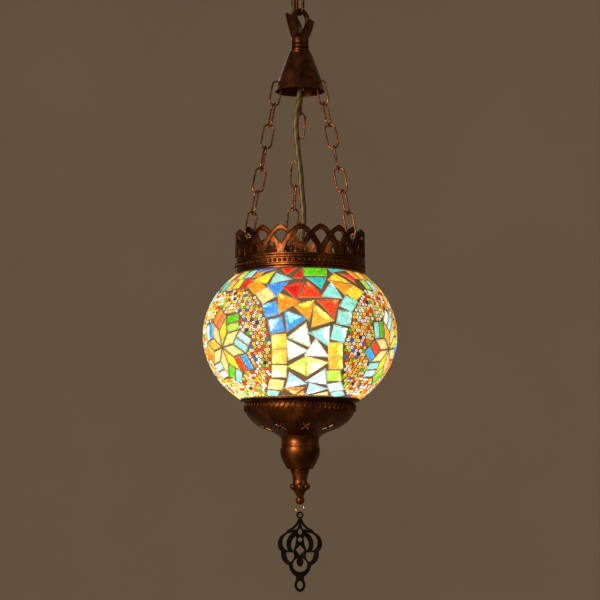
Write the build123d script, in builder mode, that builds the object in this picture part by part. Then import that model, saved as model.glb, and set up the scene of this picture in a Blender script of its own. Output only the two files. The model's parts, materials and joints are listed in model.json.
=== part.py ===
from build123d import *
import math
import os

os.makedirs("parts", exist_ok=True)

# Hanging mosaic lamp. Millimetres, +Z up, origin in the ceiling plane above the lamp's axis.
# The front of the lamp faces -Y. An azimuth counts from the front, positive towards +X.

# ---------------------------------------------------------------- driving dimensions
CANOPY_RADIUS = 50.0
CANOPY_DEPTH = 45.0
CANOPY_WALL = 1.2
BRACKET_DROP = 14.0          # ceiling to the underside of the bracket's middle
BRACKET_WALL = 2.0
BRACKET_WIDTH = 20.0
BRACKET_HOLES = 70.0         # distance between the two ceiling screws
SCREW_HOLE = 2.3             # radius
BUSH_OUT = 16.0              # the flex leaves the canopy this far behind the hook
BUSH_RADIUS = 4.8            # of the bush's neck, in the canopy's hole
CANOPY_FLAT = 24.0           # radius of the canopy's flat floor
HOOK_WIRE = 3.6
HOOK_BEND = 7.0              # radius of the hook's bend, at the middle of its wire
HOOK_NECK = 5.0              # radius of the small bend above it
THREAD = 2.0                 # radius of the hook's threaded shank
TOP_WIRE = 2.8               # wire of the top chain
TOP_LENGTH = 37.6            # link length between wire centres
TOP_WIDTH = 9.6              # link width between wire centres
LINK_GAP = 0.2               # play between two hooked wires
LOOP_TURN = 35.0             # the hanger ring's plane is turned about Z
LOOP_BAR = 3.8
COLLAR_RADIUS = 8.0
WIREWAY = 3.4                # radius of the bore that the flex runs through
SPIGOT = 5.0                 # radius of the threads of spigot and nipple
CONE_TOP_RADIUS = 10.8
CONE_RIM_RADIUS = 23.4
CONE_WALL = 1.2
SIDE_WIRE = 1.8              # wire of the three side chains
SIDE_LINKS = 7
SIDE_WIDTH = 9.7
CORD = 5.6                   # diameter of the flex
CORD_PLAY = 0.15             # round the flex in its bush and its grip
GLOBE_RADIUS = 90.0          # over the tiles
GLOBE_HALF_HEIGHT = 75.0     # of the full ellipsoid
TILE_LAYER = 1.6
GLASS_WALL = 2.4
CROWN_RADIUS = 59.5
CROWN_WALL = 1.9
ARCHES = 20
FIRST_ARCH = 0.6             # azimuth of the arch tip at the front
BOWL_WALL = 1.3
PIERCINGS = 9
FIRST_PIERCING = 8.8         # azimuth
ROD = 3.0                    # radius of the threaded rod that holds the finial
SCREW_OUT = 52.0             # the crossbar's screws, from the axis
SCREW_RADIUS = 1.6
RING_WIRE = 1.0
RING_BEND = 5.5              # radius of the wire ring at the middle of its wire
RING_TURN = 42.0             # the ring's plane is turned from the Y axis
ORNAMENT_PLATE = 1.6

# ---------------------------------------------------------------- levels, from the top down
HOOK_Z = -69.7                                        # lowest point of the hook, middle of the wire
UPPER_TOP = HOOK_Z + (HOOK_WIRE + TOP_WIRE) / 2 + LINK_GAP
UPPER_BOTTOM = UPPER_TOP - TOP_LENGTH
LOWER_TOP = UPPER_BOTTOM + TOP_WIRE + LINK_GAP
LOWER_BOTTOM = LOWER_TOP - TOP_LENGTH
BAR_Z = LOWER_BOTTOM + (LOOP_BAR + TOP_WIRE) / 2 + LINK_GAP
COLLAR_Z = BAR_Z - 26.9                               # top of the ribbed collar
CONE_TOP = COLLAR_Z - 14.6
CONE_RIM = CONE_TOP - 36.1
TIP_Z = CONE_RIM - 132.7                              # tips of the crown's arches
BAND_Z = TIP_Z - 27.0                                 # top of the crown's band
SKIRT_Z = TIP_Z - 40.5                                # lower edge of the crown
GLOBE_Z = SKIRT_Z - 56.6
LIP_Z = GLOBE_Z - 58.9                                # upper edge of the bowl
URN_Z = LIP_Z - 33.9
FINIAL_Z = LIP_Z - 64.2
BALL_Z = FINIAL_Z - 28.2
RING_Z = BALL_Z - 7.9
EYE_Z = BALL_Z - 13.7                                 # middle of the ornament's eye

# ---------------------------------------------------------------- planes
ALONG = Vector(math.cos(math.radians(LOOP_TURN)), math.sin(math.radians(LOOP_TURN)), 0)
BEHIND = Vector(-ALONG.Y, ALONG.X, 0)
UP = Vector(0, 0, 1)
LOOP_PLANE = Plane(origin=(0, 0, 0), x_dir=ALONG, z_dir=ALONG.cross(UP))
HOOK_PLANE = Plane(origin=(0, 0, 0), x_dir=BEHIND, z_dir=BEHIND.cross(UP))
BUSH = BEHIND * BUSH_OUT


def outward(azimuth):
    """Unit vector away from the axis at an azimuth."""
    turn = math.radians(azimuth)
    return Vector(math.sin(turn), -math.cos(turn), 0)


def radial_plane(azimuth, height):
    """Plane that faces outward: its x runs round the lamp, its y is up."""
    out = outward(azimuth)
    return Plane(origin=(0, 0, height), x_dir=UP.cross(out), z_dir=out)


def finish(part, name):
    """Name a finished piece and write it."""
    part.label = name
    export_step(part, f"parts/{name}.step")


def turned(name, points):
    """A solid of revolution about the lamp's axis from (radius, height) points."""
    with BuildPart() as piece:
        with BuildSketch(Plane.XZ):
            with BuildLine():
                Polyline(*points, close=True)
            make_face()
        revolve(axis=Axis.Z)
    finish(piece.part, name)


def chain_link(name, top, bottom, across, wire, width):
    """An oval link: two straight wires and two round ends."""
    length = (top - bottom).length
    up = (top - bottom).normalized()
    across = (across - up * across.dot(up)).normalized()
    plane = Plane(origin=(top + bottom) / 2, x_dir=across, z_dir=across.cross(up))
    side = width / 2
    straight = length / 2 - side
    with BuildPart() as link:
        with BuildLine(plane) as route:
            start = Line((side, -straight), (side, straight))
            CenterArc((0, straight), side, 0, 180)
            Line((-side, straight), (-side, -straight))
            CenterArc((0, -straight), side, 180, 180)
        with BuildSketch(Plane(origin=start @ 0, z_dir=start % 0)):
            Circle(wire / 2)
        sweep(path=route.wires()[0])
    finish(link.part, name)


# ---------------------------------------------------------------- ceiling bracket
BRACKET_STEP = 26.0          # half the width of the bracket's dropped middle
foot = BRACKET_HOLES / 2 + 8
with BuildPart() as bracket:
    with BuildSketch(Plane.XZ):
        with BuildLine():
            Polyline(
                (-foot, 0), (-BRACKET_STEP - BRACKET_WALL, 0), (-BRACKET_STEP, -BRACKET_DROP + BRACKET_WALL),
                (BRACKET_STEP, -BRACKET_DROP + BRACKET_WALL), (BRACKET_STEP + BRACKET_WALL, 0), (foot, 0),
                (foot, -BRACKET_WALL), (BRACKET_STEP + 2 * BRACKET_WALL, -BRACKET_WALL),
                (BRACKET_STEP + BRACKET_WALL, -BRACKET_DROP), (-BRACKET_STEP - BRACKET_WALL, -BRACKET_DROP),
                (-BRACKET_STEP - 2 * BRACKET_WALL, -BRACKET_WALL), (-foot, -BRACKET_WALL), close=True)
        make_face()
    extrude(amount=BRACKET_WIDTH / 2, both=True)
    with Locations((BRACKET_HOLES / 2, 0, 0), (-BRACKET_HOLES / 2, 0, 0)):
        Hole(SCREW_HOLE)
    with Locations((0, 0, 0)):
        Hole(THREAD)
finish(bracket.part, "ceiling_bracket")

# ---------------------------------------------------------------- hook with its nuts
bend_centre = HOOK_Z + HOOK_BEND
neck_drop = math.sqrt((HOOK_BEND + HOOK_NECK) ** 2 - HOOK_NECK ** 2)
neck_z = bend_centre + neck_drop
neck_angle = math.degrees(math.atan2(neck_drop, HOOK_NECK))
with BuildPart() as hook:
    with BuildLine(HOOK_PLANE) as hook_route:
        shank = Line((0, -CANOPY_DEPTH - 3), (0, neck_z))
        CenterArc((HOOK_NECK, neck_z), HOOK_NECK, 180, neck_angle)
        CenterArc((0, bend_centre), HOOK_BEND, neck_angle, -neck_angle - 200)
    with BuildSketch(Plane.XY.offset(-CANOPY_DEPTH - 3)):
        Circle(HOOK_WIRE / 2)
    sweep(path=hook_route.wires()[0])
    with BuildSketch(Plane.XY.offset(-CANOPY_DEPTH - 5)):
        Circle(THREAD)
    extrude(amount=CANOPY_DEPTH - 1)
finish(hook.part, "canopy_hook")


def hex_nut(name, floor, height, flats, bore):
    """A hexagon nut on the lamp's axis."""
    with BuildPart() as nut:
        with BuildSketch(Plane.XY.offset(floor)):
            RegularPolygon(flats / 2, 6, major_radius=False)
            Circle(bore, mode=Mode.SUBTRACT)
        extrude(amount=height)
    finish(nut.part, name)


hex_nut("bracket_nut", -BRACKET_DROP + BRACKET_WALL, 3.2, 7.0, THREAD)
with BuildPart() as shoulder_nut:
    with BuildSketch(Plane.XY.offset(-CANOPY_DEPTH)):
        Circle(6.5)
    extrude(amount=-4.0, taper=12)
    with Locations((0, 0, -CANOPY_DEPTH)):
        Hole(THREAD)
finish(shoulder_nut.part, "canopy_nut")

# ---------------------------------------------------------------- canopy
with BuildPart() as canopy:
    with BuildSketch(Plane.XZ):
        with BuildLine():
            Line((0, 0), (CANOPY_RADIUS, 0))
            Line((CANOPY_RADIUS, 0), (CANOPY_RADIUS, -7))
            TangentArc((CANOPY_RADIUS, -7), (CANOPY_FLAT, -CANOPY_DEPTH), tangent=(0, -1))
            Line((CANOPY_FLAT, -CANOPY_DEPTH), (0, -CANOPY_DEPTH))
            Line((0, -CANOPY_DEPTH), (0, 0))
        make_face()
    revolve(axis=Axis.Z)
    rim_face = canopy.faces().sort_by(Axis.Z)[-1]
    offset(amount=-CANOPY_WALL, openings=rim_face)
    with Locations((0, 0, -CANOPY_DEPTH)):
        Hole(THREAD)
    with Locations((BUSH.X, BUSH.Y, -CANOPY_DEPTH)):
        Cylinder(BUSH_RADIUS, 8, mode=Mode.SUBTRACT)
finish(canopy.part, "canopy_cover")

with BuildPart() as bush:
    with BuildSketch(Plane.XY.offset(-CANOPY_DEPTH)):
        with Locations((BUSH.X, BUSH.Y)):
            Circle(BUSH_RADIUS + 1.6)
    extrude(amount=-2.0, taper=15)
    with BuildSketch(Plane.XY.offset(-CANOPY_DEPTH)):
        with Locations((BUSH.X, BUSH.Y)):
            Circle(BUSH_RADIUS)
    extrude(amount=4.0)
    with Locations((BUSH.X, BUSH.Y, -CANOPY_DEPTH)):
        Cylinder(CORD / 2 + CORD_PLAY, 20, mode=Mode.SUBTRACT)
finish(bush.part, "cord_bush")

TERMINAL = (20.0, 14.0, 14.0)
with BuildPart() as terminal:
    with BuildSketch(Plane.XY.offset(-BRACKET_DROP)):
        with Locations((BUSH.X, BUSH.Y)):
            RectangleRounded(TERMINAL[0], TERMINAL[1], 1.5)
    extrude(amount=-TERMINAL[2])
    with Locations((BUSH.X - 5, BUSH.Y, -BRACKET_DROP - 5), (BUSH.X + 5, BUSH.Y, -BRACKET_DROP - 5)):
        Cylinder(1.6, TERMINAL[1] + 2, rotation=(90, 0, 0), mode=Mode.SUBTRACT)
finish(terminal.part, "terminal_block")

# ---------------------------------------------------------------- top chain
chain_link("top_chain_link_1", UP * UPPER_TOP, UP * UPPER_BOTTOM, ALONG, TOP_WIRE, TOP_WIDTH)
chain_link("top_chain_link_2", UP * LOWER_TOP, UP * LOWER_BOTTOM, BEHIND, TOP_WIRE, TOP_WIDTH)

# ---------------------------------------------------------------- hanger ring with its collar
bar_top = BAR_Z + LOOP_BAR / 2
bar_under = BAR_Z - LOOP_BAR / 2
crotch_z = BAR_Z - 20.4
eye_side = 6.5
eye_wide = bar_under - eye_side


def eye_limit(point):
    """True inside the outline of the ring's eye."""
    side = abs(point.X * ALONG.X + point.Y * ALONG.Y)
    return side < eye_side + 0.1 and crotch_z < point.Z < bar_under + 0.1


with BuildPart() as hanger:
    with BuildSketch(LOOP_PLANE):
        with BuildLine():
            ThreePointArc((-9.6, BAR_Z - 6.6), (0, bar_top), (9.6, BAR_Z - 6.6))
            Line((9.6, BAR_Z - 6.6), (15.2, BAR_Z - 8.6))
            ThreePointArc((15.2, BAR_Z - 8.6), (12.9, BAR_Z - 17), (COLLAR_RADIUS, COLLAR_Z))
            Line((COLLAR_RADIUS, COLLAR_Z), (-COLLAR_RADIUS, COLLAR_Z))
            ThreePointArc((-COLLAR_RADIUS, COLLAR_Z), (-12.9, BAR_Z - 14), (-15.4, BAR_Z - 4.4))
            Line((-15.4, BAR_Z - 4.4), (-9.6, BAR_Z - 6.6))
        make_face()
        with BuildLine():
            ThreePointArc((-eye_side, eye_wide), (0, bar_under), (eye_side, eye_wide))
            ThreePointArc((eye_side, eye_wide), (4.7, eye_wide - 6.5), (0, crotch_z))
            ThreePointArc((0, crotch_z), (-4.7, eye_wide - 6.5), (-eye_side, eye_wide))
        make_face(mode=Mode.SUBTRACT)
    extrude(amount=LOOP_BAR / 2, both=True)
    eye_edges = [edge for edge in hanger.edges() if edge.length > 5 and eye_limit(edge.center())]
    fillet(eye_edges, 1.2)
    with BuildSketch(Plane.XZ):
        with BuildLine():
            Polyline(
                (0, CONE_TOP), (10.0, CONE_TOP), (10.0, CONE_TOP + 1.6), (8.6, CONE_TOP + 2.6),
                (8.6, CONE_TOP + 4.2), (7.6, CONE_TOP + 5.0), (8.4, CONE_TOP + 6.2),
                (8.4, CONE_TOP + 7.6), (7.5, CONE_TOP + 8.6), (8.2, CONE_TOP + 10.0),
                (8.2, CONE_TOP + 11.8), (COLLAR_RADIUS, COLLAR_Z), (5.6, COLLAR_Z + 5.0),
                (0, COLLAR_Z + 5.0), close=True)
        make_face()
    revolve(axis=Axis.Z)
    with BuildSketch(Plane.XY.offset(CONE_TOP - 12)):
        Circle(SPIGOT)
    extrude(amount=13)
    with BuildSketch(Plane.XY.offset(CONE_TOP - 13)):
        Circle(WIREWAY)
    extrude(amount=crotch_z - CONE_TOP + 19, mode=Mode.SUBTRACT)
finish(hanger.part, "hanger_loop")

# ---------------------------------------------------------------- cone cap
HOLE_Z = CONE_RIM + 6.6
CONE_AZIMUTHS = (-65.0, 55.0, 175.0)
with BuildPart() as cone:
    with BuildSketch(Plane.XZ):
        with BuildLine():
            Line((SPIGOT, CONE_TOP), (CONE_TOP_RADIUS, CONE_TOP))
            ThreePointArc((CONE_TOP_RADIUS, CONE_TOP), (16.9, CONE_TOP - 16), (CONE_RIM_RADIUS, CONE_RIM))
            Line((CONE_RIM_RADIUS, CONE_RIM), (CONE_RIM_RADIUS - CONE_WALL, CONE_RIM))
            ThreePointArc(
                (CONE_RIM_RADIUS - CONE_WALL, CONE_RIM), (16.9 - CONE_WALL, CONE_TOP - 16),
                (CONE_TOP_RADIUS - CONE_WALL, CONE_TOP - CONE_WALL))
            Line((CONE_TOP_RADIUS - CONE_WALL, CONE_TOP - CONE_WALL), (SPIGOT, CONE_TOP - CONE_WALL))
            Line((SPIGOT, CONE_TOP - CONE_WALL), (SPIGOT, CONE_TOP))
        make_face()
    revolve(axis=Axis.Z)
    for azimuth in CONE_AZIMUTHS:
        with BuildSketch(radial_plane(azimuth, HOLE_Z)):
            Circle(1.9)
        extrude(amount=40, mode=Mode.SUBTRACT)
finish(cone.part, "cone_cap")
hex_nut("hanger_nut", CONE_TOP - CONE_WALL - 4, 4.0, 14.0, SPIGOT)

# ---------------------------------------------------------------- side chains
LINK_OUT = 22.8                                       # the top link's middle hangs just outside the wall
CHAIN_TOP = CONE_RIM + 7.4
FRONT_BOTTOM = TIP_Z - 9.4                            # in the opening under an arch tip
BACK_BOTTOM = TIP_Z - 16.5                            # under the crossing of two arches
CROWN_MIDDLE = CROWN_RADIUS - CROWN_WALL / 2
CHAINS = {
    "left": (CONE_AZIMUTHS[0], -53.4, FRONT_BOTTOM, (0, 6, 22, 38, 28, 12, 0)),
    "right": (CONE_AZIMUTHS[1], 54.6, FRONT_BOTTOM, (0, -8, -24, -34, -22, -8, 0)),
    "back": (CONE_AZIMUTHS[2], 189.6, BACK_BOTTOM, (0, 8, -6, 10, -8, 4, 0)),
}
for side, (top_azimuth, crown_azimuth, chain_bottom, twists) in CHAINS.items():
    chain_top = outward(top_azimuth) * LINK_OUT + UP * CHAIN_TOP
    chain_end = outward(crown_azimuth) * CROWN_MIDDLE + UP * chain_bottom
    down = (chain_end - chain_top).normalized()
    span = (chain_end - chain_top).length
    overlap = SIDE_WIRE + LINK_GAP
    link_length = (span + (SIDE_LINKS - 1) * overlap) / SIDE_LINKS
    print(side, "chain: span", round(span, 2), "link between wire centres", round(link_length, 2))
    for number in range(SIDE_LINKS):
        top = chain_top + down * number * (link_length - overlap)
        blend = number / (SIDE_LINKS - 1)
        out = outward(top_azimuth * (1 - blend) + crown_azimuth * blend)
        flat = (out - down * out.dot(down)).normalized()
        turn = twists[number] + 90 * (number % 2)
        across = flat.rotate(Axis((0, 0, 0), down), turn)
        chain_link(f"{side}_chain_link_{number + 1}", top, top + down * link_length, across,
                   SIDE_WIRE, SIDE_WIDTH)

# ---------------------------------------------------------------- crown
PITCH = 2 * math.pi * CROWN_RADIUS / ARCHES           # from one arch tip to the next
VALLEY = 20.4                                         # heights above the band
EYE_TOP = 21.3
EYE_CORNER = (5.6, 17.4)
EYE_FOOT = 8.8
GATE_TOP = 12.5
GATE_HALF = 5.56
TIP_TOP = TIP_Z - BAND_Z
SKIRT_INSIDE = 59.15
CROWN_INSIDE = CROWN_RADIUS - CROWN_WALL
BAR_FLOOR = BAND_Z - 5.5                              # underside of the crossbar, on two lugs
BAR_THICK = 1.8
LUG = 2.5
with BuildPart() as crown:
    with BuildSketch(Plane.XZ):
        with BuildLine():
            Polyline(
                (CROWN_INSIDE, TIP_Z), (CROWN_RADIUS, TIP_Z), (CROWN_RADIUS, BAND_Z + 0.8),
                (60.7, BAND_Z + 0.2), (60.7, BAND_Z - 1.0), (60.2, BAND_Z - 1.6), (60.7, BAND_Z - 2.2),
                (60.7, BAND_Z - 3.6), (59.6, BAND_Z - 4.3), (59.6, BAND_Z - 8.8), (60.8, BAND_Z - 9.6),
                (60.8, BAND_Z - 10.8), (60.2, BAND_Z - 11.4), (60.9, BAND_Z - 12.2), (60.9, SKIRT_Z),
                (SKIRT_INSIDE, SKIRT_Z),
                (CROWN_INSIDE, SKIRT_Z + 1.3), close=True)
        make_face()
    revolve(axis=Axis.Z)
    for number in range(ARCHES):
        tip_azimuth = FIRST_ARCH + number * 360 / ARCHES
        with BuildSketch(radial_plane(tip_azimuth, BAND_Z)):
            with BuildLine():
                ThreePointArc((0, EYE_TOP), (3.2, 19.8), EYE_CORNER)
                ThreePointArc(EYE_CORNER, (3.4, 13.6), (0, EYE_FOOT))
                ThreePointArc((0, EYE_FOOT), (-3.4, 13.6), (-EYE_CORNER[0], EYE_CORNER[1]))
                ThreePointArc((-EYE_CORNER[0], EYE_CORNER[1]), (-3.2, 19.8), (0, EYE_TOP))
            make_face()
        extrude(amount=CROWN_RADIUS + 3, mode=Mode.SUBTRACT)
        with BuildSketch(radial_plane(tip_azimuth + 180 / ARCHES, BAND_Z)):
            with BuildLine():
                ThreePointArc((0, GATE_TOP), (3.5, 6.9), (GATE_HALF, 0))
                Line((GATE_HALF, 0), (-GATE_HALF, 0))
                ThreePointArc((-GATE_HALF, 0), (-3.5, 6.9), (0, GATE_TOP))
            make_face()
            with BuildLine():
                ThreePointArc((0, VALLEY), (4.3, 24.3), (PITCH / 2, TIP_TOP))
                Line((PITCH / 2, TIP_TOP), (0, TIP_TOP + 6))
                Line((0, TIP_TOP + 6), (-PITCH / 2, TIP_TOP))
                ThreePointArc((-PITCH / 2, TIP_TOP), (-4.3, 24.3), (0, VALLEY))
            make_face()
        extrude(amount=CROWN_RADIUS + 3, mode=Mode.SUBTRACT)
    for lug_side in (1, -1):
        with BuildSketch(Plane.XY.offset(BAR_FLOOR - LUG)):
            with Locations((lug_side * (CROWN_INSIDE - 3.4), 0)):
                Rectangle(8.8, 12)
        extrude(amount=LUG)
        with Locations((lug_side * SCREW_OUT, 0, BAND_Z)):
            Cylinder(SCREW_RADIUS, 40, mode=Mode.SUBTRACT)
finish(crown.part, "crown")

# ---------------------------------------------------------------- crossbar and lampholder
with BuildPart() as crossbar:
    with BuildSketch(Plane.XY.offset(BAR_FLOOR)):
        SlotOverall(112, 12)
        Circle(SPIGOT, mode=Mode.SUBTRACT)
        with Locations((SCREW_OUT, 0), (-SCREW_OUT, 0)):
            Circle(SCREW_RADIUS, mode=Mode.SUBTRACT)
    extrude(amount=BAR_THICK)
finish(crossbar.part, "crossbar")

with BuildPart() as crossbar_screws:
    for screw_side in (SCREW_OUT, -SCREW_OUT):
        with BuildSketch(Plane.XY.offset(BAR_FLOOR - LUG)):
            with Locations((screw_side, 0)):
                Circle(SCREW_RADIUS)
        extrude(amount=LUG + BAR_THICK)
        with BuildSketch(Plane.XY.offset(BAR_FLOOR + BAR_THICK)):
            with Locations((screw_side, 0)):
                Circle(2.9)
        extrude(amount=2.0, taper=20)
finish(crossbar_screws.part, "crossbar_screws")

NIPPLE_TOP = BAR_FLOOR + BAR_THICK + 5.0
NIPPLE_FLOOR = BAR_FLOOR - 13.0
with BuildPart() as nipple:
    with BuildSketch(Plane.XY.offset(NIPPLE_FLOOR)):
        Circle(SPIGOT)
        Circle(WIREWAY, mode=Mode.SUBTRACT)
    extrude(amount=NIPPLE_TOP - NIPPLE_FLOOR)
finish(nipple.part, "lampholder_nipple")
hex_nut("nipple_nut", BAR_FLOOR - 3.0, 3.0, 14.0, SPIGOT)

GRIP_FLOOR = BAR_FLOOR + BAR_THICK
with BuildPart() as grip:
    with BuildSketch(Plane.XY.offset(GRIP_FLOOR)):
        RegularPolygon(7.0, 8, major_radius=False)
    extrude(amount=7.0)
    with BuildSketch(Plane.XY.offset(GRIP_FLOOR + 7.0)):
        Circle(6.4)
    extrude(amount=4.5, taper=18)
    with BuildSketch(Plane.XY.offset(GRIP_FLOOR)):
        Circle(SPIGOT)
    extrude(amount=5.0, mode=Mode.SUBTRACT)
    with Locations((0, 0, GRIP_FLOOR)):
        Cylinder(CORD / 2 + CORD_PLAY, 40, mode=Mode.SUBTRACT)
finish(grip.part, "cord_grip")

HOLDER_TOP = NIPPLE_FLOOR + 10.0
HOLDER_SPLIT = NIPPLE_FLOOR - 4.0
HOLDER_FLOOR = NIPPLE_FLOOR - 32.0
SOCKET = 6.95                                         # radius inside the lampholder
with BuildPart() as holder_cap:
    with BuildSketch(Plane.XZ):
        with BuildLine():
            Line((SPIGOT, HOLDER_TOP), (7.0, HOLDER_TOP))
            ThreePointArc((7.0, HOLDER_TOP), (12.0, HOLDER_TOP - 4.0), (14.0, HOLDER_SPLIT))
            Line((14.0, HOLDER_SPLIT), (12.4, HOLDER_SPLIT))
            ThreePointArc((12.4, HOLDER_SPLIT), (10.6, HOLDER_TOP - 5.2), (6.6, HOLDER_TOP - 2.4))
            Line((6.6, HOLDER_TOP - 2.4), (SPIGOT, HOLDER_TOP - 2.4))
            Line((SPIGOT, HOLDER_TOP - 2.4), (SPIGOT, HOLDER_TOP))
        make_face()
    revolve(axis=Axis.Z)
finish(holder_cap.part, "lampholder_cap")
turned("lampholder_body", [
    (0, HOLDER_SPLIT), (14.0, HOLDER_SPLIT), (14.0, HOLDER_SPLIT - 6), (13.2, HOLDER_SPLIT - 7),
    (13.2, HOLDER_FLOOR + 3), (14.2, HOLDER_FLOOR + 2), (14.2, HOLDER_FLOOR), (SOCKET, HOLDER_FLOOR),
    (SOCKET, HOLDER_SPLIT - 4), (0, HOLDER_SPLIT - 4)])

# ---------------------------------------------------------------- bulb
BULB_RADIUS = 22.5
BULB_Z = GLOBE_Z - 16.0
BASE_RADIUS = 6.9
NECK_RADIUS = 9.5
NECK_JOIN = HOLDER_FLOOR - 1.0
NECK_Z = BULB_Z + math.sqrt(BULB_RADIUS ** 2 - NECK_RADIUS ** 2)
BASE_TOP = HOLDER_SPLIT - 6.0
turned("bulb_contact", [(0, BASE_TOP + 1.7), (2.0, BASE_TOP + 1.7), (2.9, BASE_TOP), (0, BASE_TOP)])
turned("bulb_base", [
    (0, BASE_TOP), (3.2, BASE_TOP), (BASE_RADIUS, BASE_TOP - 2.5),
    (BASE_RADIUS, HOLDER_FLOOR - 0.6), (BASE_RADIUS + 0.5, NECK_JOIN), (0, NECK_JOIN)])
with BuildPart() as bulb:
    with BuildSketch(Plane.XZ):
        with BuildLine():
            Line((0, NECK_JOIN), (7.4, NECK_JOIN))
            Line((7.4, NECK_JOIN), (NECK_RADIUS, NECK_Z))
            ThreePointArc((NECK_RADIUS, NECK_Z), (BULB_RADIUS, BULB_Z), (0, BULB_Z - BULB_RADIUS))
            Line((0, BULB_Z - BULB_RADIUS), (0, NECK_JOIN))
        make_face()
    revolve(axis=Axis.Z)
finish(bulb.part, "bulb_glass")

# ---------------------------------------------------------------- globe
GLOBE_TOP = SKIRT_Z + 3.8
GLOBE_FLOOR = LIP_Z
SEAL = 0.8


def ellipsoid_shell(name, radius, half_height, wall):
    """A spheroid's wall, open at its top and bottom."""
    with BuildPart() as shell:
        with BuildSketch(Plane.XZ):
            Ellipse(radius, half_height)
            Ellipse(radius - wall, half_height - wall, mode=Mode.SUBTRACT)
            with Locations((-radius, 0)):
                Rectangle(2 * radius, 3 * radius, mode=Mode.SUBTRACT)
            with Locations((0, GLOBE_TOP - GLOBE_Z)):
                Rectangle(3 * radius, 3 * radius, align=(Align.CENTER, Align.MIN), mode=Mode.SUBTRACT)
            with Locations((0, GLOBE_FLOOR - GLOBE_Z)):
                Rectangle(3 * radius, 3 * radius, align=(Align.CENTER, Align.MAX), mode=Mode.SUBTRACT)
        revolve(axis=Axis.Z)
    finish(Pos(0, 0, GLOBE_Z) * shell.part, name)


ellipsoid_shell("mosaic_layer", GLOBE_RADIUS, GLOBE_HALF_HEIGHT, TILE_LAYER)
ellipsoid_shell("globe_glass", GLOBE_RADIUS - TILE_LAYER, GLOBE_HALF_HEIGHT - TILE_LAYER, GLASS_WALL)

with BuildPart() as top_seal:
    with BuildSketch(Plane.XY.offset(SKIRT_Z + 1.3)):
        Circle(CROWN_INSIDE)
        Circle(50.0, mode=Mode.SUBTRACT)
    extrude(amount=3.7)
    with BuildSketch(Plane.XZ):
        with Locations((0, GLOBE_Z)):
            Ellipse(GLOBE_RADIUS, GLOBE_HALF_HEIGHT)
            with Locations((-GLOBE_RADIUS, 0)):
                Rectangle(2 * GLOBE_RADIUS, 3 * GLOBE_RADIUS, mode=Mode.SUBTRACT)
    revolve(axis=Axis.Z, mode=Mode.SUBTRACT)
finish(top_seal.part, "top_seal")

# ---------------------------------------------------------------- bowl under the globe
with BuildPart() as bowl:
    with BuildSketch(Plane.XZ):
        with BuildLine():
            Line((51.0, LIP_Z - SEAL), (55.1, LIP_Z - SEAL))
            Line((55.1, LIP_Z - SEAL), (55.0, LIP_Z - 1.8))
            ThreePointArc((55.0, LIP_Z - 1.8), (51.9, LIP_Z - 2.6), (50.1, LIP_Z - 4.1))
            ThreePointArc((50.1, LIP_Z - 4.1), (51.0, LIP_Z - 8.4), (49.8, LIP_Z - 12.9))
            ThreePointArc((49.8, LIP_Z - 12.9), (44.2, LIP_Z - 20.2), (31.8, LIP_Z - 27.9))
            ThreePointArc((31.8, LIP_Z - 27.9), (24.2, LIP_Z - 30.9), (19.0, URN_Z))
            Line((19.0, URN_Z), (ROD, URN_Z))
            Line((ROD, URN_Z), (ROD, URN_Z + BOWL_WALL))
            Line((ROD, URN_Z + BOWL_WALL), (18.4, URN_Z + BOWL_WALL))
            ThreePointArc((18.4, URN_Z + BOWL_WALL), (23.7, LIP_Z - 29.7), (31.3, LIP_Z - 26.7))
            ThreePointArc((31.3, LIP_Z - 26.7), (43.3, LIP_Z - 19.2), (48.6, LIP_Z - 12.4))
            ThreePointArc((48.6, LIP_Z - 12.4), (49.7, LIP_Z - 8.4), (48.8, LIP_Z - 4.4))
            Line((48.8, LIP_Z - 4.4), (51.0, LIP_Z - 2.2))
            Line((51.0, LIP_Z - 2.2), (51.0, LIP_Z - SEAL))
        make_face()
    revolve(axis=Axis.Z)
    for number in range(PIERCINGS):
        with BuildSketch(radial_plane(FIRST_PIERCING + number * 360 / PIERCINGS, LIP_Z - 26.3)):
            Rectangle(8.0, 1.5, rotation=38)
            Rectangle(8.0, 1.5, rotation=-38)
        extrude(amount=60, mode=Mode.SUBTRACT)
finish(bowl.part, "bowl")
with BuildPart() as bottom_seal:
    with BuildSketch(Plane.XY.offset(LIP_Z - SEAL)):
        Circle(54.7)
        Circle(51.4, mode=Mode.SUBTRACT)
    extrude(amount=SEAL)
finish(bottom_seal.part, "bottom_seal")

URN_WALL = 1.4
with BuildPart() as urn:
    with BuildSketch(Plane.XZ):
        with BuildLine():
            Line((ROD, URN_Z), (18.6, URN_Z))
            Spline((18.6, URN_Z), (17.3, URN_Z - 4.2), (18.4, URN_Z - 13.4), (15.6, URN_Z - 23.2),
                   (11.6, FINIAL_Z))
            Line((11.6, FINIAL_Z), (ROD, FINIAL_Z))
            Line((ROD, FINIAL_Z), (ROD, URN_Z))
        make_face()
        with BuildLine():
            Line((ROD + 1.5, URN_Z - URN_WALL), (17.2, URN_Z - URN_WALL))
            Spline((17.2, URN_Z - URN_WALL), (16.0, URN_Z - 4.6), (17.0, URN_Z - 13.4), (14.2, URN_Z - 23.0),
                   (10.9, FINIAL_Z + URN_WALL))
            Line((10.9, FINIAL_Z + URN_WALL), (ROD + 1.5, FINIAL_Z + URN_WALL))
            Line((ROD + 1.5, FINIAL_Z + URN_WALL), (ROD + 1.5, URN_Z - URN_WALL))
        make_face(mode=Mode.SUBTRACT)
    revolve(axis=Axis.Z)
    with Locations((0, 0, URN_Z - 9.8)):
        Torus(18.3, 0.6, mode=Mode.SUBTRACT)
finish(urn.part, "urn")

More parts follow.
